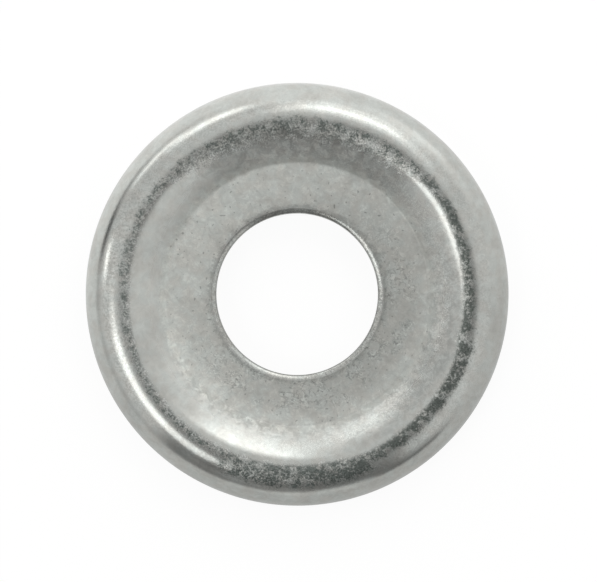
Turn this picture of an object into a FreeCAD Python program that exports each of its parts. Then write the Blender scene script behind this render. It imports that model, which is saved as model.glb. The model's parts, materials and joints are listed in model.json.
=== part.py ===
import FreeCAD, Part
import math
import os

import Sketcher

# A pressed steel cup washer, in millimetres.
# It is one disc of sheet, drawn into a flat round floor, a sloping and slightly
# convex wall, a rounded ridge and a shoulder that turns down into a short skirt.
# The origin is the centre of the circle that the skirt's edge stands on, and +Z is
# the washer's own axis. The recess with the flat floor opens towards +Z.

SIZES = {
    "rim_diameter": 34.0,
    "hole_diameter": 13.0,
    "sheet_thickness": 2.0,
    "skirt_height": 1.5,
    "recess_depth": 1.7,
    "shoulder_bend": 1.0,
    "crest_bend": 0.6,
    "wall_bend": 9.0,
    "floor_bend": 0.4,
    "wall_top_slope": 25.0,
    "hole_mouth_break": 0.3,
    "hole_exit_break": 0.15,
    "foot_outer_break": 0.3,
    "foot_inner_break": 0.2,
}

NOTES = {
    "rim_diameter": "across the outside of the skirt",
    "hole_diameter": "clearance hole for an M12 bolt",
    "sheet_thickness": "the same all the way through the section",
    "skirt_height": "straight part of the skirt below the shoulder",
    "recess_depth": "from the top of the ridge down to the floor",
    "shoulder_bend": "inside radius, between the skirt and the ridge",
    "crest_bend": "inside radius, over the top of the ridge",
    "wall_bend": "inside radius, of the wall's slow curve down from the ridge",
    "floor_bend": "inside radius, where the wall meets the floor",
    "wall_top_slope": "degrees above the floor, where the wall leaves the ridge",
    "hole_mouth_break": "edge that the punch draws in, on the floor's side",
    "hole_exit_break": "broken edge of the hole on the underside",
    "foot_outer_break": "broken outer edge of the skirt's trimmed foot",
    "foot_inner_break": "broken inner edge of the skirt's trimmed foot",
}

START = 1
END = 2
CENTRE = 3
X_AXIS = -1
Y_AXIS = -2
ORIGIN = (X_AXIS, START)


def make_sheet(doc):
    """Put each size in a cell, with its alias beside a label and a note."""
    sheet = doc.addObject("Spreadsheet::Sheet", "sizes")
    for row, (alias, value) in enumerate(SIZES.items(), start=1):
        sheet.set(f"A{row}", alias)
        sheet.set(f"B{row}", str(value))
        sheet.setAlias(f"B{row}", alias)
        sheet.set(f"C{row}", NOTES[alias])
    doc.recompute()
    return sheet


def origin_plane(body, role):
    """Find one of the body's own origin planes."""
    for feature in body.Origin.OriginFeatures:
        if feature.Role == role:
            return feature
    raise RuntimeError(f"{body.Label} has no {role}")


def new_sketch(body, name, role):
    """Start a sketch on one of the body's origin planes."""
    sketch = body.newObject("Sketcher::SketchObject", name)
    sketch.AttachmentSupport = [(origin_plane(body, role), "")]
    sketch.MapMode = "FlatFace"
    return sketch


def arc_about(centre, radius, first, last):
    """Arc round centre, from the angle first to the angle last, in degrees."""
    axis = FreeCAD.Vector(0, 0, 1)
    circle = Part.Circle(centre, axis, radius)
    return Part.ArcOfCircle(circle, math.radians(first), math.radians(last))


def bind(sketch, name, constraint, expression):
    """Add a named dimension to a sketch and tie it to the sheet."""
    index = sketch.addConstraint(constraint)
    sketch.renameConstraint(index, name)
    sketch.setExpression(f"Constraints.{name}", expression)


def section_geometry(sheet):
    """The half section as lines and arcs, from the axis out and back.

    The upper side and the underside bend about the same centres, so the sheet has
    one thickness everywhere.
    """
    thickness = sheet.sheet_thickness
    rim = sheet.rim_diameter / 2
    shoulder_outer = sheet.shoulder_bend + thickness
    crest_outer = sheet.crest_bend + thickness
    wall_outer = sheet.wall_bend + thickness
    floor_outer = sheet.floor_bend + thickness

    ridge_height = sheet.skirt_height + shoulder_outer
    floor_top = ridge_height - sheet.recess_depth
    floor_under = floor_top - thickness
    ridge = rim - shoulder_outer
    shoulder_at = FreeCAD.Vector(ridge, sheet.skirt_height, 0)
    crest_at = FreeCAD.Vector(ridge, ridge_height - crest_outer, 0)

    top_slope = math.radians(sheet.wall_top_slope)
    down_wall = FreeCAD.Vector(math.sin(top_slope), -math.cos(top_slope), 0)
    wall_at = crest_at + down_wall * (wall_outer - crest_outer)
    reach = wall_outer + sheet.floor_bend
    floor_slope = math.acos((floor_top + sheet.floor_bend - wall_at.y) / reach)
    floor_edge = wall_at.x - reach * math.sin(floor_slope)
    floor_bend_at = FreeCAD.Vector(floor_edge, floor_top + sheet.floor_bend, 0)

    def line(x1, y1, x2, y2):
        return Part.LineSegment(FreeCAD.Vector(x1, y1, 0), FreeCAD.Vector(x2, y2, 0))

    outward = 0
    top = 90
    bottom = 270
    wall_top = top + sheet.wall_top_slope
    wall_foot = top + math.degrees(floor_slope)
    bend_end = bottom + math.degrees(floor_slope)
    return {
        "floor": line(0, floor_top, floor_edge, floor_top),
        "floor_bend": arc_about(floor_bend_at, sheet.floor_bend, bottom, bend_end),
        "wall": arc_about(wall_at, wall_outer, wall_top, wall_foot),
        "crest": arc_about(crest_at, crest_outer, top, wall_top),
        "shoulder": arc_about(shoulder_at, shoulder_outer, outward, top),
        "skirt": line(rim, sheet.skirt_height, rim, 0),
        "foot": line(rim, 0, rim - thickness, 0),
        "skirt_inside": line(rim - thickness, 0, rim - thickness, sheet.skirt_height),
        "shoulder_inside": arc_about(shoulder_at, sheet.shoulder_bend, outward, top),
        "crest_inside": arc_about(crest_at, sheet.crest_bend, top, wall_top),
        "wall_under": arc_about(wall_at, sheet.wall_bend, wall_top, wall_foot),
        "floor_bend_under": arc_about(floor_bend_at, floor_outer, bottom, bend_end),
        "floor_under": line(floor_edge, floor_under, 0, floor_under),
        "middle": line(0, floor_under, 0, floor_top),
    }


def draw_section(body, sheet):
    """Draw the half section, and hold every line and arc by a size or a tangent."""
    sketch = new_sketch(body, "section", "XZ_Plane")
    part = {}
    for name, geometry in section_geometry(sheet).items():
        part[name] = sketch.addGeometry(geometry, False)

    smooth = [
        ("floor", END, "floor_bend", START),
        ("floor_bend", END, "wall", END),
        ("wall", START, "crest", END),
        ("crest", START, "shoulder", END),
        ("shoulder", START, "skirt", START),
        ("skirt_inside", END, "shoulder_inside", START),
        ("shoulder_inside", END, "crest_inside", START),
        ("crest_inside", END, "wall_under", START),
        ("wall_under", END, "floor_bend_under", END),
        ("floor_bend_under", START, "floor_under", START),
    ]
    for first, first_end, second, second_end in smooth:
        sketch.addConstraint(
            Sketcher.Constraint("Tangent", part[first], first_end, part[second], second_end)
        )

    corners = [
        ("skirt", END, "foot", START),
        ("foot", END, "skirt_inside", START),
        ("floor_under", END, "middle", START),
        ("middle", END, "floor", START),
    ]
    for first, first_end, second, second_end in corners:
        sketch.addConstraint(
            Sketcher.Constraint("Coincident", part[first], first_end, part[second], second_end)
        )

    one_centre = [
        ("shoulder", "shoulder_inside"),
        ("crest", "crest_inside"),
        ("wall", "wall_under"),
        ("floor_bend", "floor_bend_under"),
    ]
    for outer, inner in one_centre:
        sketch.addConstraint(
            Sketcher.Constraint("Coincident", part[outer], CENTRE, part[inner], CENTRE)
        )

    for name in ("floor", "foot", "floor_under"):
        sketch.addConstraint(Sketcher.Constraint("Horizontal", part[name]))
    for name in ("skirt", "skirt_inside"):
        sketch.addConstraint(Sketcher.Constraint("Vertical", part[name]))
    sketch.addConstraint(
        Sketcher.Constraint("Vertical", part["crest"], CENTRE, part["shoulder"], CENTRE)
    )
    for end in (START, END):
        sketch.addConstraint(
            Sketcher.Constraint("PointOnObject", part["middle"], end, Y_AXIS)
        )
    sketch.addConstraint(Sketcher.Constraint("PointOnObject", part["foot"], START, X_AXIS))

    thickness = sheet.sheet_thickness
    bind(
        sketch,
        "rim_radius",
        Sketcher.Constraint("DistanceX", *ORIGIN, part["skirt"], END, sheet.rim_diameter / 2),
        "sizes.rim_diameter / 2",
    )
    bind(
        sketch,
        "skirt_height",
        Sketcher.Constraint("DistanceY", part["skirt"], END, part["skirt"], START,
                            sheet.skirt_height),
        "sizes.skirt_height",
    )
    bind(
        sketch,
        "recess_depth",
        Sketcher.Constraint("DistanceY", part["floor"], END, part["crest"], START,
                            sheet.recess_depth),
        "sizes.recess_depth",
    )
    bind(
        sketch,
        "wall_top_slope",
        Sketcher.Constraint("Angle", part["crest"], math.radians(sheet.wall_top_slope)),
        "sizes.wall_top_slope",
    )
    radii = [
        ("shoulder_outside_radius", "shoulder", "sizes.shoulder_bend + sizes.sheet_thickness",
         sheet.shoulder_bend + thickness),
        ("shoulder_inside_radius", "shoulder_inside", "sizes.shoulder_bend",
         sheet.shoulder_bend),
        ("crest_outside_radius", "crest", "sizes.crest_bend + sizes.sheet_thickness",
         sheet.crest_bend + thickness),
        ("wall_outside_radius", "wall", "sizes.wall_bend + sizes.sheet_thickness",
         sheet.wall_bend + thickness),
        ("floor_inside_radius", "floor_bend", "sizes.floor_bend", sheet.floor_bend),
    ]
    for name, arc, expression, value in radii:
        bind(sketch, name, Sketcher.Constraint("Radius", part[arc], value), expression)
    return sketch


def press_cup(body, sheet):
    """Turn the half section about the axis."""
    sketch = draw_section(body, sheet)
    cup = body.newObject("PartDesign::Revolution", "pressed_cup")
    cup.Profile = sketch
    cup.ReferenceAxis = (sketch, ["V_Axis"])
    cup.Angle = 360
    body.Document.recompute()
    return cup


def punch_hole(body, sheet):
    """Punch the bolt hole through the middle of the floor."""
    volume_before = body.Shape.Volume
    sketch = new_sketch(body, "hole_circle", "XY_Plane")
    axis = FreeCAD.Vector(0, 0, 1)
    circle = Part.Circle(FreeCAD.Vector(0, 0, 0), axis, sheet.hole_diameter / 2)
    index = sketch.addGeometry(circle, False)
    sketch.addConstraint(Sketcher.Constraint("Coincident", index, CENTRE, *ORIGIN))
    bind(
        sketch,
        "hole_radius",
        Sketcher.Constraint("Radius", index, sheet.hole_diameter / 2),
        "sizes.hole_diameter / 2",
    )
    hole = body.newObject("PartDesign::Pocket", "bolt_hole")
    hole.Profile = sketch
    hole.Type = "ThroughAll"
    hole.Reversed = True
    body.Document.recompute()
    slug = math.pi * (sheet.hole_diameter / 2) ** 2 * sheet.sheet_thickness
    removed = volume_before - body.Shape.Volume
    share_allowed = 0.001
    if abs(removed - slug) > slug * share_allowed:
        raise RuntimeError(f"the hole removes {removed:.3f} mm3, not {slug:.3f} mm3")
    return hole


def circle_edge(feature, radius, height):
    """Name the full circle of this radius, about the axis, at this height."""
    close = 1e-4
    for number, edge in enumerate(feature.Shape.Edges, start=1):
        curve = edge.Curve
        if not isinstance(curve, Part.Circle):
            continue
        same_radius = abs(curve.Radius - radius) < close
        if same_radius and abs(curve.Center.z - height) < close:
            return f"Edge{number}"
    raise RuntimeError(f"no circle of radius {radius} at height {height}")


def break_edge(body, name, radius, height, size):
    """Break one circular edge at 45 degrees, by a size from the sheet."""
    base = body.Tip
    bevel = body.newObject("PartDesign::Chamfer", name)
    bevel.Base = (base, [circle_edge(base, radius, height)])
    bevel.setExpression("Size", f"sizes.{size}")
    body.Document.recompute()


def make_washer(doc, sheet):
    """The whole washer: pressed cup, punched hole and broken edges."""
    body = doc.addObject("PartDesign::Body", "washer")
    body.Label = "washer"
    body.Placement = FreeCAD.Placement()
    press_cup(body, sheet)
    punch_hole(body, sheet)

    rim = sheet.rim_diameter / 2
    hole = sheet.hole_diameter / 2
    ridge_height = sheet.skirt_height + sheet.shoulder_bend + sheet.sheet_thickness
    floor_top = ridge_height - sheet.recess_depth
    floor_under = floor_top - sheet.sheet_thickness
    break_edge(body, "hole_mouth", hole, floor_top, "hole_mouth_break")
    break_edge(body, "hole_exit", hole, floor_under, "hole_exit_break")
    break_edge(body, "foot_outer_edge", rim, 0, "foot_outer_break")
    break_edge(body, "foot_inner_edge", rim - sheet.sheet_thickness, 0, "foot_inner_break")
    return body


def check(doc, pieces):
    """Stop if any object failed, or if a piece has no sound solid."""
    for item in doc.Objects:
        if "Invalid" in item.State or "Error" in item.State:
            raise RuntimeError(f"{item.Label} failed: {item.State}")
    for piece in pieces:
        shape = piece.Shape
        if shape.isNull() or not shape.isValid() or len(shape.Solids) != 1:
            raise RuntimeError(f"{piece.Label} isn't one sound solid")


def write(pieces):
    """Write each piece to a file that has the piece's name."""
    os.makedirs("parts", exist_ok=True)
    for piece in pieces:
        piece.Shape.exportStep(os.path.join("parts", f"{piece.Label}.step"))
        box = piece.Shape.optimalBoundingBox()
        print(f"{piece.Label}: volume {piece.Shape.Volume:.2f} mm3,",
              f"{box.XLength:.3f} x {box.YLength:.3f} x {box.ZLength:.3f} mm")


doc = FreeCAD.newDocument("cup_washer")
sizes = make_sheet(doc)
washer = make_washer(doc, sizes)
doc.recompute()
check(doc, [washer])
write([washer])
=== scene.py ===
import json
import math

import bpy
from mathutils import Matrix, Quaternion, Vector, noise


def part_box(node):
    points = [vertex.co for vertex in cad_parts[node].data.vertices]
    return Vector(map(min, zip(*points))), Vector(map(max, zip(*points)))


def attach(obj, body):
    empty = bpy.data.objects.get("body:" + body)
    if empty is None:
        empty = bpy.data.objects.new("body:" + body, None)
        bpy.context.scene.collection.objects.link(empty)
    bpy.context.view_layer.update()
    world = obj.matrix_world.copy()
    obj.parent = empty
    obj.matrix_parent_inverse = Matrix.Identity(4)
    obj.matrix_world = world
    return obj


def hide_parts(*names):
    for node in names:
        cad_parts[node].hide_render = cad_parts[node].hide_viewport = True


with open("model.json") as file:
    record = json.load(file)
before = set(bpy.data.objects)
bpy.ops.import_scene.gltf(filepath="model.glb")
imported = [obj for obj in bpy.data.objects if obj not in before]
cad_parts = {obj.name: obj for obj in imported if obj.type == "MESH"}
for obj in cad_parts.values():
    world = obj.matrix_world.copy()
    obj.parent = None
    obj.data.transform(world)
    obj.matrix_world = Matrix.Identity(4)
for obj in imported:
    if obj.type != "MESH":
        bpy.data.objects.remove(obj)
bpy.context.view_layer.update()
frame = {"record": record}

# A pressed steel cup washer with worn zinc plating, on a white table under soft lamps.
# The camera looks straight down its axis, as the photograph does.

MM = 0.001

# The photograph's frame, and where the washer's axis falls in it.
FRAME_WIDTH_PX = 597
FRAME_HEIGHT_PX = 582
AXIS_X_PX = 297.18
AXIS_Y_PX = 294.29
RIM_RADIUS_PX = 211.38


# Sizes in millimetres. What the frame states is read from it.

def mount(name):
    """One of the record's mounts, by its name."""
    for entry in frame["record"]["mounts"]:
        if entry["name"] == name:
            return entry
    raise KeyError(name)


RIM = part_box("washer")[1].x / MM
RIDGE_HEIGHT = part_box("washer")[1].z / MM
HOLE = mount("bolt_hole")["dims"]["r_mm"]
FLOOR_TOP = mount("nut_seat")["pos_m"][2] / MM
FLOOR_UNDER = mount("floor_underside")["pos_m"][2] / MM
SHEET = FLOOR_TOP - FLOOR_UNDER

# The bends, by their radius on the hollow side
SHOULDER_BEND = 1.0
CREST_BEND = 0.6
WALL_BEND = 9.0
FLOOR_BEND = 0.4

# Slopes are in degrees
WALL_TOP_SLOPE = 25.0
LIP_ROLL = 0.9
LIP_SLOPE = 30.0
HOLE_MOUTH_ROUND = 0.12
HOLE_EXIT_ROUND = 0.15
FOOT_OUTER_ROUND = 0.3
FOOT_INNER_ROUND = 0.2

SKIRT_TOP = RIDGE_HEIGHT - SHEET - SHOULDER_BEND
RIDGE = RIM - SHEET - SHOULDER_BEND

# Steps round the axis
AROUND = 540


# The washer's section

def arc(centre, radius, first, last, steps):
    """Points round a centre, from the angle first to the angle last, in degrees."""
    points = []
    for step in range(steps + 1):
        angle = math.radians(first + (last - first) * step / steps)
        points.append((centre[0] + radius * math.cos(angle), centre[1] + radius * math.sin(angle)))
    return points


def line(start, end, steps):
    """Evenly spaced points between start and end, without the two ends."""
    points = []
    for step in range(1, steps):
        share = step / steps
        points.append((start[0] + (end[0] - start[0]) * share,
                       start[1] + (end[1] - start[1]) * share))
    return points


def section():
    """The closed section as (radius, height) points, and the surface each lies on.

    It starts at the hole's mouth and runs out over the upper side, down the skirt and
    back along the underside.
    """
    crest_outer = CREST_BEND + SHEET
    shoulder_outer = SHOULDER_BEND + SHEET
    wall_outer = WALL_BEND + SHEET
    shoulder_at = (RIDGE, SKIRT_TOP)
    crest_at = (RIDGE, RIDGE_HEIGHT - crest_outer)
    top_slope = math.radians(WALL_TOP_SLOPE)
    wall_at = (crest_at[0] + (wall_outer - crest_outer) * math.sin(top_slope),
               crest_at[1] - (wall_outer - crest_outer) * math.cos(top_slope))
    reach = wall_outer + FLOOR_BEND
    floor_slope = math.acos((FLOOR_TOP + FLOOR_BEND - wall_at[1]) / reach)
    floor_bend_at = (wall_at[0] - reach * math.sin(floor_slope), FLOOR_TOP + FLOOR_BEND)
    lip_slope = math.radians(LIP_SLOPE)
    mouth_out = HOLE + HOLE_MOUTH_ROUND
    lip_at = (mouth_out + (LIP_ROLL - HOLE_MOUTH_ROUND) * math.sin(lip_slope),
              FLOOR_TOP - LIP_ROLL)
    mouth_at = (mouth_out, lip_at[1] + (LIP_ROLL - HOLE_MOUTH_ROUND) * math.cos(lip_slope))
    exit_at = (HOLE + HOLE_EXIT_ROUND, FLOOR_UNDER + HOLE_EXIT_ROUND)
    foot_outer_at = (RIM - FOOT_OUTER_ROUND, FOOT_OUTER_ROUND)
    foot_inner_at = (RIM - SHEET + FOOT_INNER_ROUND, FOOT_INNER_ROUND)
    wall_top = 90 + WALL_TOP_SLOPE
    wall_foot = 90 + math.degrees(floor_slope)
    bend_end = 270 + math.degrees(floor_slope)

    # Each bend, and into how many steps the straight run after it is divided
    bends_in_order = [
        ("mouth", arc(mouth_at, HOLE_MOUTH_ROUND, 180, 90 + LIP_SLOPE, 5), 0),
        ("lip", arc(lip_at, LIP_ROLL, 90 + LIP_SLOPE, 90, 8)[1:], 24),
        ("floor_bend", arc(floor_bend_at, FLOOR_BEND, 270, bend_end, 6), 0),
        ("wall", arc(wall_at, wall_outer, wall_foot, wall_top, 16)[1:], 0),
        ("crest", arc(crest_at, crest_outer, wall_top, 90, 10)[1:], 0),
        ("shoulder", arc(shoulder_at, shoulder_outer, 90, 0, 34)[1:], 5),
        ("foot", arc(foot_outer_at, FOOT_OUTER_ROUND, 0, -90, 5), 6),
        ("foot", arc(foot_inner_at, FOOT_INNER_ROUND, 270, 180, 4), 5),
        ("under", arc(shoulder_at, SHOULDER_BEND, 0, 90, 9), 0),
        ("under", arc(crest_at, CREST_BEND, 90, wall_top, 3)[1:], 0),
        ("under", arc(wall_at, WALL_BEND, wall_top, wall_foot, 8)[1:], 0),
        ("under", arc(floor_bend_at, FLOOR_BEND + SHEET, bend_end, 270, 7)[1:], 12),
        ("hole", arc(exit_at, HOLE_EXIT_ROUND, 270, 180, 4), 7),
    ]
    run_after = {"lip": "floor", "shoulder": "skirt", "foot": "foot", "under": "under",
                 "hole": "hole"}
    points = []
    count = len(bends_in_order)
    for index, (name, bend, steps) in enumerate(bends_in_order):
        points += [(point, name) for point in bend]
        if steps:
            next_start = bends_in_order[(index + 1) % count][1][0]
            points += [(point, run_after[name]) for point in line(bend[-1], next_start, steps)]
    return points


def section_normals(points):
    """The outward normal at each point of the closed section."""
    normals = []
    count = len(points)
    for index in range(count):
        before = points[index - 1][0]
        beyond = points[(index + 1) % count][0]
        along = Vector((beyond[0] - before[0], beyond[1] - before[1]))
        normals.append(Vector((-along.y, along.x)).normalized())
    return normals


# Relief that the press and wear leave on each surface, in millimetres

RELIEF = {
    "floor": 0.006,
    "floor_bend": 0.006,
    "wall": 0.007,
    "crest": 0.008,
    "shoulder": 0.006,
    "skirt": 0.003,
    "foot": 0.004,
    "under": 0.008,
    "hole": 0.006,
    "mouth": 0.003,
    "lip": 0.004,
}

# The two noises that make it: the width of their swells in millimetres, their share of
# the relief, and the offset that picks the pattern
RELIEF_NOISES = [
    (2.2, 0.75, Vector((3.1, 7.7, 1.3))),
    (0.9, 0.35, Vector((11.0, 2.0, 5.0))),
]


def relief(place, surface):
    """How far the surface stands proud of the true form at a place, in millimetres."""
    swell = sum(share * noise.noise(place / width + offset)
                for width, share, offset in RELIEF_NOISES)
    return RELIEF[surface] * swell


def build_washer():
    """The whole washer as one mesh, turned from its section."""
    points = section()
    normals = section_normals(points)
    count = len(points)
    vertices = []
    for turn in range(AROUND):
        angle = 2 * math.pi * turn / AROUND
        cosine = math.cos(angle)
        sine = math.sin(angle)
        for ((radius, height), surface), normal in zip(points, normals):
            place = Vector((radius * cosine, radius * sine, height))
            proud = relief(place, surface)
            outward = Vector((normal.x * cosine, normal.x * sine, normal.y))
            vertices.append((place + outward * proud) * MM)
    faces = []
    for turn in range(AROUND):
        here = turn * count
        beyond = ((turn + 1) % AROUND) * count
        for index in range(count):
            after = (index + 1) % count
            faces.append((here + index, beyond + index, beyond + after, here + after))
    mesh = bpy.data.meshes.new("washer_plated")
    mesh.from_pydata(vertices, [], faces)
    mesh.shade_smooth()
    upper = {"mouth", "lip", "floor", "floor_bend", "wall", "crest", "shoulder", "skirt"}
    upper_side = mesh.attributes.new("upper_side", "FLOAT", "POINT")
    upper_side.data.foreach_set("value", [float(name in upper) for _, name in points] * AROUND)
    mesh.update()
    piece = bpy.data.objects.new("washer_plated", mesh)
    bpy.context.scene.collection.objects.link(piece)
    return piece


# Node helpers

class Nodes:
    """Adds nodes to a tree and joins them."""

    def __init__(self, tree):
        self.tree = tree
        tree.nodes.clear()

    def put(self, kind, **settings):
        node = self.tree.nodes.new(kind)
        for name, value in settings.items():
            setattr(node, name, value)
        return node

    def feed(self, socket, value):
        """Set a socket to a number or colour, or join it to another node's output."""
        if isinstance(value, bpy.types.NodeSocket):
            self.tree.links.new(value, socket)
        elif value is not None:
            socket.default_value = value

    def math(self, operation, first, second=None, third=None, clamp=False):
        node = self.put("ShaderNodeMath", operation=operation, use_clamp=clamp)
        for socket, value in zip(node.inputs, (first, second, third)):
            self.feed(socket, value)
        return node.outputs[0]

    def ramp(self, value, low, high, to_low=0.0, to_high=1.0):
        """Smooth step of a value between low and high."""
        node = self.put("ShaderNodeMapRange", interpolation_type="SMOOTHSTEP")
        self.feed(node.inputs["Value"], value)
        self.feed(node.inputs["From Min"], low)
        self.feed(node.inputs["From Max"], high)
        self.feed(node.inputs["To Min"], to_low)
        self.feed(node.inputs["To Max"], to_high)
        return node.outputs["Result"]

    def window(self, value, start, end, soft):
        """1 between start and end, with soft edges, and 0 outside."""
        rise = self.ramp(value, start - soft / 2, start + soft / 2)
        fall = self.ramp(value, end - soft / 2, end + soft / 2)
        return self.math("SUBTRACT", rise, fall, clamp=True)

    def times(self, first, *others):
        """The product of numbers."""
        for other in others:
            first = self.math("MULTIPLY", first, other)
        return first

    def mix(self, share, first, second):
        """Mix two numbers."""
        node = self.put("ShaderNodeMix", data_type="FLOAT")
        self.feed(node.inputs[0], share)
        self.feed(node.inputs[2], first)
        self.feed(node.inputs[3], second)
        return node.outputs[0]

    def scaled(self, value, share, factor):
        """A number times a factor where share is 1, and as it was where share is 0."""
        return self.times(value, self.mix(share, 1.0, factor))

    def blend(self, share, first, second, kind="MIX"):
        """Mix two colours."""
        node = self.put("ShaderNodeMix", data_type="RGBA", blend_type=kind)
        self.feed(node.inputs[0], share)
        self.feed(node.inputs[6], first)
        self.feed(node.inputs[7], second)
        return node.outputs[2]

    def shaded(self, colour, share, factor):
        """A colour times a factor where share is 1, and as it was where share is 0."""
        return self.blend(1.0, colour, self.mix(share, 1.0, factor), "MULTIPLY")

    def noise(self, place, per_mm, detail, rough, warp):
        node = self.put("ShaderNodeTexNoise")
        self.feed(node.inputs["Vector"], place)
        node.inputs["Scale"].default_value = per_mm
        node.inputs["Detail"].default_value = detail
        node.inputs["Roughness"].default_value = rough
        node.inputs["Distortion"].default_value = warp
        return node.outputs["Fac"]


# The plated steel. Lengths are in millimetres, and a pair of them is a smooth step
# between two finishes, from the first to the second, by the distance from the axis.

# HOLE_EDGE is where painted shade at the hole's edge fades out.
HOLE_EDGE = (6.52, 6.62)
LIP_EDGE = (6.98, 6.80)
FLOOR_EDGE = (11.25, 10.75)
WALL_EDGE = (13.1, 11.4)
GRAIN_INNER_EDGE = (13.35, 13.70)
GRAIN_OUTER_EDGE = (14.45, 13.95)

# The fold between floor and wall, where the flat floor ends
FOLD = 10.44

# How far noise moves the borders between the finishes, and how far it moves the grain's
# inner edge away from the top and at the top
BORDER_WANDER = 1.3
GRAIN_WANDER = (0.9, 4.0)

# How much further in the two edges of the ridge's grain lie, by side of the washer
GRAIN_INNER_SHIFTS = {"top": 1.15, "right": 0.25, "left": -0.12, "far_left": 0.20,
                      "low_right": -0.34}
GRAIN_OUTER_SHIFTS = {"top": 0.20, "right": 0.10}

# How much further out its outer edge lies at the bottom and at the lower right
BOTTOM_GRAIN = 1.15
LOW_RIGHT_GRAIN = 0.45

# How much less pitted the grain is by side, in values of its noise
PIT_SHIFTS = {"right": -0.05, "low_right": -0.03, "bottom": -0.03, "left": 0.027, "top": 0.02}

# The noises: scale per millimetre, detail, roughness and distortion
NOISES = {
    "clouds": (0.45, 5.0, 0.6, 0.0),
    "leather": (1.6, 4.0, 0.65, 0.6),
    "grain": (5.0, 3.0, 0.8, 0.2),
    "grit": (9.0, 1.0, 0.5, 0.0),
    "clumps": (1.3, 2.0, 0.5, 0.0),
    "pepper": (2.6, 3.0, 0.7, 0.8),
    "dots": (4.2, 0.0, 0.5, 0.0),
    "tint": (0.9, 2.0, 0.5, 0.0),
}

# The short marks: detail, roughness and distortion of their noise, and for each size of
# mark the scale per millimetre and half the mark's width, in values of the noise
MARK_NOISE = (2.0, 0.6, 0.7)
MARK_SIZES = [(1.1, 0.050), (2.1, 0.075)]

PLATING = (0.588, 0.590, 0.555, 1)
PLATING_COOLER = (0.572, 0.592, 0.564, 1)
PIT_COLOUR = (0.190, 0.212, 0.198, 1)
# The pits are wear; their darker colour on the right is painted shade, their lighter colour on the
# far left painted light.
PIT_COLOUR_RIGHT = (0.152, 0.169, 0.155, 1)
PIT_COLOUR_FAR_LEFT = (0.220, 0.243, 0.228, 1)
GRAIN_FLECK_COLOUR = (0.66, 0.67, 0.645, 1)

ROUGHNESS = {
    "shoulder": 0.21,
    "wall": 0.28,
    "top_wall": 0.40,
    "ridge": 0.32,
    "pits": 0.42,
    "floor": 0.56,
    "lip": 0.24,
    "underside": 0.48,
}

# How high the bump stands
BUMP = {
    "smooth_grain": 0.003,
    "hammered_grain": 0.013,
    "ridge_grain": 0.027,
    "smooth_dimples": 0.004,
    "floor_dimples": 0.018,
    "marks": 0.005,
}


def distance_from_axis(nodes, point):
    """Distance of a point from the washer's axis."""
    flat = nodes.put("ShaderNodeVectorMath", operation="MULTIPLY")
    nodes.feed(flat.inputs[0], point)
    flat.inputs[1].default_value = (1, 1, 0)
    length = nodes.put("ShaderNodeVectorMath", operation="LENGTH")
    nodes.feed(length.inputs[0], flat.outputs[0])
    return length.outputs["Value"]


def sides_of_washer(nodes, across, along):
    """Shares of the washer's sides at a point, each rising from 0 to 1."""
    return {
        "left": nodes.ramp(across, 10.5, -10.5),
        "far_left": nodes.ramp(across, -12.0, -13.4),
        "right": nodes.ramp(nodes.math("MULTIPLY_ADD", along, -0.27, across), 6.5, 13.0),
        "top": nodes.ramp(along, 7.5, 12.0),
        "bottom": nodes.ramp(along, -12.8, -14.3),
        "low": nodes.ramp(along, -4.0, -8.0),
        "low_right": nodes.ramp(nodes.math("SUBTRACT", across, along), 16.0, 18.4),
    }


def shifted(nodes, value, sides, shifts):
    """A value moved by its own amount on each of the sides named."""
    for side, amount in shifts.items():
        value = nodes.math("MULTIPLY_ADD", sides[side], amount, value)
    return value


def wandering(nodes, value, noise_value, reach):
    """A value moved to and fro by a noise, whose middle is 0.5."""
    off_middle = nodes.math("SUBTRACT", noise_value, 0.5)
    return nodes.math("MULTIPLY_ADD", off_middle, reach, value)


class Place:
    """What the plating depends on at a point of the washer. Each value is a node's output."""

    def __init__(self, nodes):
        coordinates = nodes.put("ShaderNodeTexCoord")
        millimetres = nodes.put("ShaderNodeVectorMath", operation="SCALE")
        nodes.feed(millimetres.inputs[0], coordinates.outputs["Object"])
        millimetres.inputs["Scale"].default_value = 1 / MM
        self.point = millimetres.outputs[0]
        self.radius = distance_from_axis(nodes, self.point)
        axes = nodes.put("ShaderNodeSeparateXYZ")
        nodes.feed(axes.inputs[0], self.point)
        self.across = axes.outputs["X"]
        self.along = axes.outputs["Y"]
        self.upper = nodes.put("ShaderNodeAttribute", attribute_name="upper_side").outputs["Fac"]
        self.sides = sides_of_washer(nodes, self.across, self.along)
        self.noise = {name: nodes.noise(self.point, *settings)
                      for name, settings in NOISES.items()}
        self.clumped = wandering(nodes, self.noise["grain"], self.noise["clumps"], 0.7)
        self.on = zones(nodes, self)
        # The low side near the fold: the floor gets painted light there, and the bump's dimples
        # reach onto the wall.
        self.lifted = nodes.times(nodes.ramp(self.along, 2.0, -8.0),
                                  nodes.ramp(self.radius, 8.8, 10.4))
        self.worn = worn_patches(nodes, self)
        self.marks = handling_marks(nodes, self)
        self.hammered = nodes.scaled(self.on["wall"], self.sides["left"], 0.05)
        self.pits = shifted(nodes, self.clumped, self.sides, PIT_SHIFTS)
        self.pitted = nodes.times(self.on["ridge"], nodes.ramp(self.pits, 0.59, 0.40))


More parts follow.
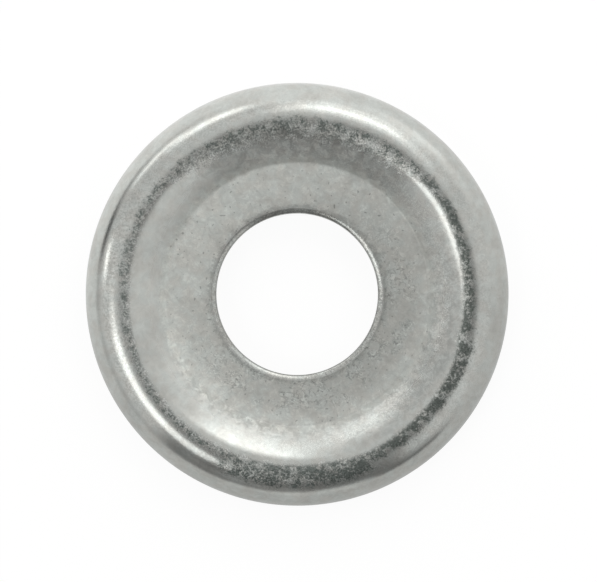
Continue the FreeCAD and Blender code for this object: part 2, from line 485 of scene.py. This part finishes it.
def zones(nodes, at):
    """Shares of the finishes on the upper side, by the distance from the axis.

    Noise makes their borders ragged. The grain on the ridge reaches further in at the
    top and on the right, and further out at the bottom, and at the lower right it lies
    further out.
    """
    ragged = wandering(nodes, at.radius, at.clumped, BORDER_WANDER)
    shredded = wandering(nodes, at.radius, at.clumped, nodes.mix(at.sides["top"], *GRAIN_WANDER))
    inner = shifted(nodes, shredded, at.sides, GRAIN_INNER_SHIFTS)
    outer = shifted(nodes, ragged, at.sides, GRAIN_OUTER_SHIFTS)
    further_out = nodes.math("MAXIMUM", nodes.times(at.sides["bottom"], BOTTOM_GRAIN),
                             nodes.times(at.sides["low_right"], LOW_RIGHT_GRAIN))
    outer = nodes.math("SUBTRACT", outer, further_out)
    floor = nodes.ramp(ragged, *FLOOR_EDGE)
    lip = nodes.ramp(at.radius, *LIP_EDGE)
    shares = {
        "floor": nodes.math("SUBTRACT", floor, lip, clamp=True),
        "lip": lip,
        "wall": nodes.ramp(at.radius, *WALL_EDGE),
        "ridge": nodes.times(nodes.ramp(inner, *GRAIN_INNER_EDGE),
                             nodes.ramp(outer, *GRAIN_OUTER_EDGE)),
    }
    return {name: nodes.times(share, at.upper) for name, share in shares.items()}


def worn_patches(nodes, at):
    """Where handling has worn the floor: its inner part, towards one side, in patches."""
    aside = nodes.math("MULTIPLY_ADD", at.along, -0.8, nodes.times(at.across, 0.5))
    return nodes.times(nodes.ramp(at.radius, 10.3, 8.6), nodes.ramp(aside, -6.0, 5.0),
                       nodes.ramp(at.noise["clouds"], 0.40, 0.52))


def handling_marks(nodes, at):
    """Short curved marks on the floor, where a noise passes its middle value."""
    broken = nodes.times(nodes.ramp(at.noise["leather"], 0.46, 0.54),
                         nodes.mix(at.worn, 0.25, 1.0))
    strokes = []
    for per_mm, half_width in MARK_SIZES:
        lines = nodes.noise(at.point, per_mm, *MARK_NOISE)
        away = nodes.math("ABSOLUTE", nodes.math("SUBTRACT", lines, 0.5))
        strokes.append(nodes.times(nodes.ramp(away, half_width, 0.0), broken))
    return nodes.times(nodes.math("MAXIMUM", *strokes), at.on["floor"])


def floor_tone(nodes, at):
    """The floor, with painted light and shade: lighter on the left, outwards and on the low side,
    darker at the hole.
    """
    # Painted light: lighter on the left and outwards.
    tone = nodes.mix(at.sides["left"], 0.955, 1.18)
    tone = nodes.times(tone, nodes.ramp(at.radius, 6.9, 10.3, 0.96, 1.06))
    # Painted shade: darker round the hole's lip.
    near_hole = wandering(nodes, at.radius, at.clumped, 1.4)
    tone = nodes.times(tone, nodes.ramp(near_hole, 6.85, 7.4, 0.72, 1.0))
    # Painted light: lighter on the low side, next to the bright wall.
    tone = nodes.scaled(tone, at.lifted, 1.12)
    peppered = nodes.times(at.worn, nodes.ramp(at.noise["pepper"], 0.46, 0.36))
    return nodes.scaled(tone, peppered, 0.72)


def wall_tone(nodes, at):
    """The wall: painted shade on the right and painted light at the top, and blotchy on both of
    them.
    """
    # Painted shade: darker on the right, least on the left.
    right_tone = nodes.ramp(at.along, 3.0, -5.0, 0.83, 0.91)
    tone = nodes.mix(at.sides["left"], right_tone, 1.05)
    # Painted light: lighter at the top.
    tone = nodes.scaled(tone, at.sides["top"], 1.32)
    blotches = nodes.ramp(at.noise["leather"], 0.36, 0.64, 0.85, 1.10)
    blotched = nodes.math("MAXIMUM", at.sides["top"], nodes.times(at.sides["right"], 0.6))
    tone = nodes.scaled(tone, blotched, blotches)
    return nodes.mix(nodes.ramp(at.radius, 13.6, 12.8), 1.0, tone)


def fold_tone(nodes, at):
    """The fold between floor and wall, which hardly shows on the low side and the right.

    There the wall's colour is darkened just past the fold, painted shade that hides the fold's
    reflection, and narrow rings of painted light and shade even out what the fold reflects.
    """
    frayed = wandering(nodes, at.radius, at.noise["leather"], 3.0)
    # Painted shade just past the fold on the low side and the right, deepest towards the left.
    fold_shade_side = nodes.math("MAXIMUM", at.sides["low"], nodes.times(at.sides["right"], 0.80))
    fold_shaded = nodes.times(nodes.ramp(at.radius, FOLD - 0.06, FOLD + 0.14),
                         nodes.ramp(frayed, 11.6, 10.5), fold_shade_side)
    tone = nodes.mix(fold_shaded, 1.0, nodes.ramp(at.across, -3.0, 1.0, 0.72, 0.83))
    # Rings of painted light and shade that even out the fold's reflection.
    low_left_ring = nodes.times(nodes.window(at.radius, FOLD - 0.02, FOLD + 0.16, 0.08),
                                at.sides["low"], nodes.ramp(at.across, 2.0, -2.0))
    tone = nodes.scaled(tone, low_left_ring, 1.06)
    right_ring = nodes.times(nodes.window(at.radius, FOLD, FOLD + 0.18, 0.10),
                             at.sides["right"])
    tone = nodes.scaled(tone, right_ring, 0.94)
    past_ring = nodes.times(nodes.ramp(at.radius, FOLD + 0.16, FOLD + 0.26),
                            nodes.ramp(at.radius, *FLOOR_EDGE), at.sides["right"])
    return nodes.scaled(tone, past_ring, 1.09)


def plating_tone(nodes, at):
    """How light the plating is, as a factor of its colour, with painted light and shade."""
    tone = nodes.ramp(at.noise["clouds"], 0.3, 0.7, 0.92, 1.07)
    mottled = nodes.mix(at.on["floor"], nodes.ramp(at.noise["leather"], 0.3, 0.7, 0.94, 1.06),
                        nodes.ramp(at.noise["leather"], 0.3, 0.7, 0.87, 1.13))
    specks = nodes.times(nodes.ramp(at.noise["dots"], 0.755, 0.82), at.on["floor"])
    tone = nodes.scaled(nodes.times(tone, mottled), specks, 0.66)
    tone = nodes.scaled(tone, at.marks, 0.66)
    zone_tone = nodes.mix(at.on["floor"], wall_tone(nodes, at), floor_tone(nodes, at))
    zone_tone = nodes.times(zone_tone, fold_tone(nodes, at))
    # The lip is darker, least on the low side: painted shade.
    zone_tone = nodes.mix(at.on["lip"], zone_tone, nodes.mix(at.sides["low"], 0.88, 0.97))
    tone = nodes.scaled(tone, at.upper, zone_tone)
    # Painted shade at the hole's edge.
    return nodes.times(tone, nodes.ramp(at.radius, *HOLE_EDGE, 0.75, 1.0))


def plating_colour(nodes, at):
    """The colour: dark pits and light flecks on the ridge, with painted shade on its right and
    painted light on its far left, and fine dapples elsewhere.
    """
    grain = at.noise["grain"]
    grit = at.noise["grit"]
    plating = nodes.blend(nodes.ramp(at.noise["tint"], 0.35, 0.65), PLATING, PLATING_COOLER)
    colour = nodes.blend(1.0, plating, plating_tone(nodes, at), "MULTIPLY")
    # Painted shade and light: the pits are darker on the right and lighter on the far left.
    pit_colour = nodes.blend(at.sides["right"], PIT_COLOUR, PIT_COLOUR_RIGHT)
    pit_colour = nodes.blend(at.sides["far_left"], pit_colour, PIT_COLOUR_FAR_LEFT)
    colour = nodes.blend(at.pitted, colour, pit_colour)
    lit = nodes.times(at.on["ridge"], nodes.ramp(at.pits, 0.60, 0.74))
    # Painted shade: fewer light flecks on the right.
    lit = nodes.scaled(lit, at.sides["right"], 0.2)
    colour = nodes.blend(lit, colour, GRAIN_FLECK_COLOUR)
    colour = nodes.shaded(colour, at.on["ridge"], nodes.ramp(grit, 0.34, 0.66, 0.72, 1.24))

    shoulder = nodes.times(nodes.window(at.radius, 14.5, 15.6, 0.5), at.upper)
    off_floor = nodes.times(at.hammered, nodes.math("SUBTRACT", 1.0, at.on["floor"]))
    flecked = nodes.math("MAXIMUM", off_floor, nodes.times(shoulder, 0.6))
    flecks = nodes.times(nodes.ramp(grit, 0.34, 0.66, 0.90, 1.10),
                         nodes.ramp(grain, 0.35, 0.65, 0.92, 1.08))
    colour = nodes.shaded(colour, flecked, flecks)

    peened = nodes.times(shoulder, at.sides["far_left"], 0.45)
    rolled = nodes.scaled(at.on["lip"], at.sides["low"], 0.4)
    dapples = nodes.ramp(grain, 0.38, 0.62, 0.80, 1.14)
    return nodes.shaded(colour, nodes.math("MAXIMUM", rolled, peened), dapples)


def plating_roughness(nodes, at):
    """The roughness: a polished shoulder, a duller wall and ridge, and a matt floor."""
    wall = nodes.mix(at.sides["top"], ROUGHNESS["wall"], ROUGHNESS["top_wall"])
    ridge = nodes.mix(at.pitted, ROUGHNESS["ridge"], ROUGHNESS["pits"])
    rough = nodes.mix(at.on["wall"], ROUGHNESS["shoulder"], wall)
    rough = nodes.mix(at.on["ridge"], rough, ridge)
    rough = nodes.mix(at.on["floor"], rough, ROUGHNESS["floor"])
    rough = nodes.mix(at.on["lip"], rough, ROUGHNESS["lip"])
    return nodes.mix(at.upper, ROUGHNESS["underside"], rough)


def plating_bump(nodes, at):
    """The fine bump: grain, wider dimples, and the marks as shallow grooves."""
    grain = nodes.mix(at.hammered, BUMP["smooth_grain"], BUMP["hammered_grain"])
    grain = nodes.mix(at.on["ridge"], grain, BUMP["ridge_grain"])
    dimpled = nodes.math("MAXIMUM", at.on["floor"], nodes.times(at.on["wall"], at.lifted))
    dimples = nodes.mix(dimpled, BUMP["smooth_dimples"], BUMP["floor_dimples"])
    height = nodes.times(nodes.math("SUBTRACT", at.noise["grain"], 0.5), grain)
    height = wandering(nodes, height, at.noise["leather"], dimples)
    height = nodes.math("SUBTRACT", height, nodes.times(at.marks, BUMP["marks"]))
    bump = nodes.put("ShaderNodeBump")
    bump.inputs["Strength"].default_value = 1.0
    bump.inputs["Distance"].default_value = MM
    nodes.feed(bump.inputs["Height"], height)
    return bump.outputs["Normal"]


def plated_steel():
    """Worn bright zinc plating: cloudy, marked floor, grainy ridge, clean shoulder."""
    material = bpy.data.materials.new("zinc_plated_steel")
    material.use_nodes = True
    nodes = Nodes(material.node_tree)
    at = Place(nodes)
    shader = nodes.put("ShaderNodeBsdfPrincipled")
    shader.inputs["Metallic"].default_value = 1.0
    nodes.feed(shader.inputs["Base Color"], plating_colour(nodes, at))
    nodes.feed(shader.inputs["Roughness"], plating_roughness(nodes, at))
    nodes.feed(shader.inputs["Normal"], plating_bump(nodes, at))
    output = nodes.put("ShaderNodeOutputMaterial")
    nodes.feed(output.inputs["Surface"], shader.outputs[0])
    return material


# The table

# Half its width, in metres
TABLE_HALF = 3.0

# The table lies this far under the foot, in metres, so that the two surfaces stay apart
TABLE_GAP = 0.00002

TABLE_COLOUR = (0.86, 0.86, 0.855, 1)
TABLE_GLOW_SHARE = 0.85
TABLE_WHITE = 1.07

# Painted light on the table, seen only in the washer's reflections. Its bright side faces this
# azimuth.
# What shines in the washer's rim runs from the first level, on the far side, to the second, and
# the power narrows the bright side.
BRIGHT_SIDE = 105.0
BRIGHT_SIDE_POWER = 1.5
TABLE_LEVELS = (0.58, 1.10)


def azimuth_of(nodes, vector):
    """The direction of a vector round Z, in degrees from 0 to 360, and the split vector."""
    split = nodes.put("ShaderNodeSeparateXYZ")
    nodes.feed(split.inputs[0], vector)
    turned = nodes.math("ARCTAN2", split.outputs["Y"], split.outputs["X"])
    degrees = nodes.times(turned, 180 / math.pi)
    return nodes.math("FLOORED_MODULO", degrees, 360.0), split


def table():
    """A white table. It looks white to the camera and keeps the washer's shadow; in reflections it
    has painted light, brighter on one side.
    """
    material = bpy.data.materials.new("table")
    material.use_nodes = True
    nodes = Nodes(material.node_tree)
    path = nodes.put("ShaderNodeLightPath").outputs
    through = nodes.math("MAXIMUM", path["Is Camera Ray"], path["Is Transmission Ray"])
    seen = nodes.math("MAXIMUM", through, path["Is Glossy Ray"])
    place = nodes.put("ShaderNodeTexCoord").outputs["Object"]
    azimuth, _ = azimuth_of(nodes, place)
    off_bright = nodes.times(nodes.math("SUBTRACT", azimuth, BRIGHT_SIDE), math.pi / 180)
    side = nodes.math("MULTIPLY_ADD", nodes.math("COSINE", off_bright), 0.5, 0.5)
    side = nodes.math("POWER", side, BRIGHT_SIDE_POWER)
    level = nodes.mix(through, nodes.mix(side, *TABLE_LEVELS), TABLE_WHITE)

    diffuse = nodes.put("ShaderNodeBsdfDiffuse")
    diffuse.inputs["Color"].default_value = TABLE_COLOUR
    glow = nodes.put("ShaderNodeEmission")
    nodes.feed(glow.inputs["Strength"], level)
    both = nodes.put("ShaderNodeMixShader")
    nodes.feed(both.inputs[0], nodes.times(seen, TABLE_GLOW_SHARE))
    nodes.feed(both.inputs[1], diffuse.outputs[0])
    nodes.feed(both.inputs[2], glow.outputs[0])
    clear = nodes.put("ShaderNodeBsdfTransparent")
    from_below = nodes.put("ShaderNodeNewGeometry").outputs["Backfacing"]
    choose = nodes.put("ShaderNodeMixShader")
    nodes.feed(choose.inputs[0], from_below)
    nodes.feed(choose.inputs[1], both.outputs[0])
    nodes.feed(choose.inputs[2], clear.outputs[0])
    output = nodes.put("ShaderNodeOutputMaterial")
    nodes.feed(output.inputs["Surface"], choose.outputs[0])

    mesh = bpy.data.meshes.new("table")
    corners = [(-TABLE_HALF, -TABLE_HALF, -TABLE_GAP), (TABLE_HALF, -TABLE_HALF, -TABLE_GAP),
               (TABLE_HALF, TABLE_HALF, -TABLE_GAP), (-TABLE_HALF, TABLE_HALF, -TABLE_GAP)]
    mesh.from_pydata(corners, [], [(0, 1, 2, 3)])
    mesh.materials.append(material)
    top = bpy.data.objects.new("table", mesh)
    bpy.context.scene.collection.objects.link(top)


# The room. Azimuths run from +X towards +Y and zenith angles from +Z, in degrees. A
# range of either is from, to and the softness of its edges.

WALLS = 0.72

# Patches of the room: level, azimuths and zenith angles, each over those before it
WALL_PATCHES = [
    (1.0, (42, 116, 22), (55, 95, 12)),
    (0.88, (25, 46, 10), (60, 95, 5)),
    (1.2, (40, 66, 12), (70, 90, 8)),
    (0.62, (306, 352, 24), (58, 95, 24)),
    (0.44, (298, 316, 10), (62, 84, 12)),
    (0.64, (136, 160, 10), (30, 95, 12)),
]

# The dark side. Its lower edge is highest at one azimuth and drops to both sides of it,
# by so many degrees for each degree.
DARK_SIDE = 0.20
DARK_SIDE_AZIMUTHS = (226.0, 304.0, 9.0)
DARK_EDGE_AZIMUTH = 283.0
DARK_EDGE_ZENITH = 73.0
DARK_EDGE_DROP = 0.28
DARK_EDGE_SOFTNESS = 5.0

# Patches that are laid over the dark side and beside it
DARK_SIDE_PATCHES = [
    (0.34, (240, 268, 14), (60, 72, 7)),
    (0.12, (292, 318, 10), (74, 84, 5)),
    (0.30, (140, 174, 10), (82, 91, 5)),
    (0.02, (154, 169, 5), (76, 91, 4)),
    (0.55, (170, 226, 10), (76, 91, 8)),
]

# A dark round patch overhead, a little towards the dark side. It fades in between these
# two angles from its middle.
OVERHEAD = 0.20
OVERHEAD_AZIMUTH = 290
OVERHEAD_ZENITH = 12
OVERHEAD_EDGE = (26.0, 8.0)


def towards(azimuth, zenith):
    """The unit vector in a direction given in degrees."""
    turn = math.radians(azimuth)
    lean = math.radians(zenith)
    return Vector((math.sin(lean) * math.cos(turn), math.sin(lean) * math.sin(turn),
                   math.cos(lean)))


def angle_from(nodes, cosine):
    """The angle in degrees that has this cosine."""
    return nodes.times(nodes.math("ARCCOSINE", cosine), 180 / math.pi)


def room():
    """A pale room with one dark side. The camera sees it as plain white."""
    world = bpy.data.worlds.new("room")
    world.use_nodes = True
    bpy.context.scene.world = world
    nodes = Nodes(world.node_tree)
    direction = nodes.put("ShaderNodeTexCoord").outputs["Generated"]
    azimuth, split = azimuth_of(nodes, direction)
    zenith = angle_from(nodes, split.outputs["Z"])

    def lay(level, patches):
        """Lay patches over the level that is there."""
        for shade, azimuths, zeniths in patches:
            share = nodes.times(nodes.window(azimuth, *azimuths), nodes.window(zenith, *zeniths))
            level = nodes.mix(share, level, shade)
        return level

    level = lay(WALLS, WALL_PATCHES)
    aside = nodes.math("ABSOLUTE", nodes.math("SUBTRACT", azimuth, DARK_EDGE_AZIMUTH))
    low_edge = nodes.math("MULTIPLY_ADD", aside, DARK_EDGE_DROP, DARK_EDGE_ZENITH)
    above_edge = nodes.math("SUBTRACT", low_edge, zenith)
    dark = nodes.times(nodes.window(azimuth, *DARK_SIDE_AZIMUTHS),
                       nodes.ramp(above_edge, -DARK_EDGE_SOFTNESS / 2, DARK_EDGE_SOFTNESS / 2))
    level = nodes.mix(dark, level, DARK_SIDE)
    level = lay(level, DARK_SIDE_PATCHES)

    cosine = nodes.put("ShaderNodeVectorMath", operation="DOT_PRODUCT")
    nodes.feed(cosine.inputs[0], direction)
    cosine.inputs[1].default_value = towards(OVERHEAD_AZIMUTH, OVERHEAD_ZENITH)
    off_middle = angle_from(nodes, cosine.outputs["Value"])
    level = nodes.mix(nodes.ramp(off_middle, *OVERHEAD_EDGE), level, OVERHEAD)

    path = nodes.put("ShaderNodeLightPath")
    light = nodes.mix(path.outputs["Is Camera Ray"], level, 1.0)
    background = nodes.put("ShaderNodeBackground")
    background.inputs["Color"].default_value = (1, 1, 1, 1)
    nodes.feed(background.inputs["Strength"], light)
    output = nodes.put("ShaderNodeOutputWorld")
    nodes.feed(output.inputs["Surface"], background.outputs[0])


# The lamps, placed where the washer's shoulder reflects them in the photograph: distance
# in metres, azimuth, zenith angle, width, height and roll in degrees, and radiance

LAMPS = {
    "lamp_top": (0.12, 73, 41.5, 27, 14, 0, 0.9),
    "lamp_top_glow": (0.12, 73, 43, 34, 38, 0, 0.45),
    "lamp_top_left": (0.16, 117, 60.5, 22, 14, 0, 1.2),
    "lamp_left_low": (1.0, 135, 71.5, 20, 8, 0, 1.2),
    "lamp_left_small": (0.06, 170, 60, 10, 9, 0, 2.1),
    "lamp_left": (1.0, 216, 34, 35, 18, 5, 1.3),
}


def lamp(name, distance, azimuth, zenith, wide, tall, roll, radiance):
    """A flat soft lamp that faces the washer's shoulder.

    Its direction is the one from the point of the shoulder that mirrors it upwards,
    where the shoulder slopes by half the zenith angle.
    """
    light = bpy.data.lights.new(name, "AREA")
    light.shape = "RECTANGLE"
    light.size = 2 * distance * math.tan(math.radians(wide / 2))
    light.size_y = 2 * distance * math.tan(math.radians(tall / 2))
    light.energy = radiance * math.pi * light.size * light.size_y
    holder = bpy.data.objects.new(name, light)
    out_by = (RIDGE + (SHEET + SHOULDER_BEND) * math.sin(math.radians(zenith) / 2)) * MM
    shoulder = towards(azimuth, 90) * out_by
    shoulder.z = RIDGE_HEIGHT * MM
    direction = towards(azimuth, zenith)
    holder.location = shoulder + direction * distance
    holder.rotation_mode = "QUATERNION"
    holder.rotation_quaternion = (direction.to_track_quat("Z", "Y")
                                  @ Quaternion((0, 0, 1), math.radians(roll)))
    holder.visible_camera = False
    bpy.context.scene.collection.objects.link(holder)


# The camera

# Its height above the table, and the nearest and furthest that it sees, in metres
CAMERA_HEIGHT = 0.35
CLIP_START = 0.01
CLIP_END = 10.0

# The sensor's width, in millimetres
SENSOR = 36.0


def camera():
    """Look straight down, with the washer where it is in the photograph."""
    mm_per_px = RIM / RIM_RADIUS_PX
    outline_height = SKIRT_TOP * MM
    width = FRAME_WIDTH_PX * mm_per_px * MM
    data = bpy.data.cameras.new("camera")
    data.sensor_width = SENSOR
    data.lens = SENSOR * (CAMERA_HEIGHT - outline_height) / width
    data.clip_start = CLIP_START
    data.clip_end = CLIP_END
    holder = bpy.data.objects.new("camera", data)
    right = (FRAME_WIDTH_PX / 2 - AXIS_X_PX) * mm_per_px * MM
    up = (AXIS_Y_PX - FRAME_HEIGHT_PX / 2) * mm_per_px * MM
    holder.location = (right, up, CAMERA_HEIGHT)
    bpy.context.scene.collection.objects.link(holder)
    bpy.context.scene.camera = holder


washer = build_washer()
washer.data.materials.append(plated_steel())
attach(washer, "root")
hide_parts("washer")
table()
room()
for lamp_name, settings in LAMPS.items():
    lamp(lamp_name, *settings)
camera()
bpy.context.scene.view_settings.view_transform = "Standard"
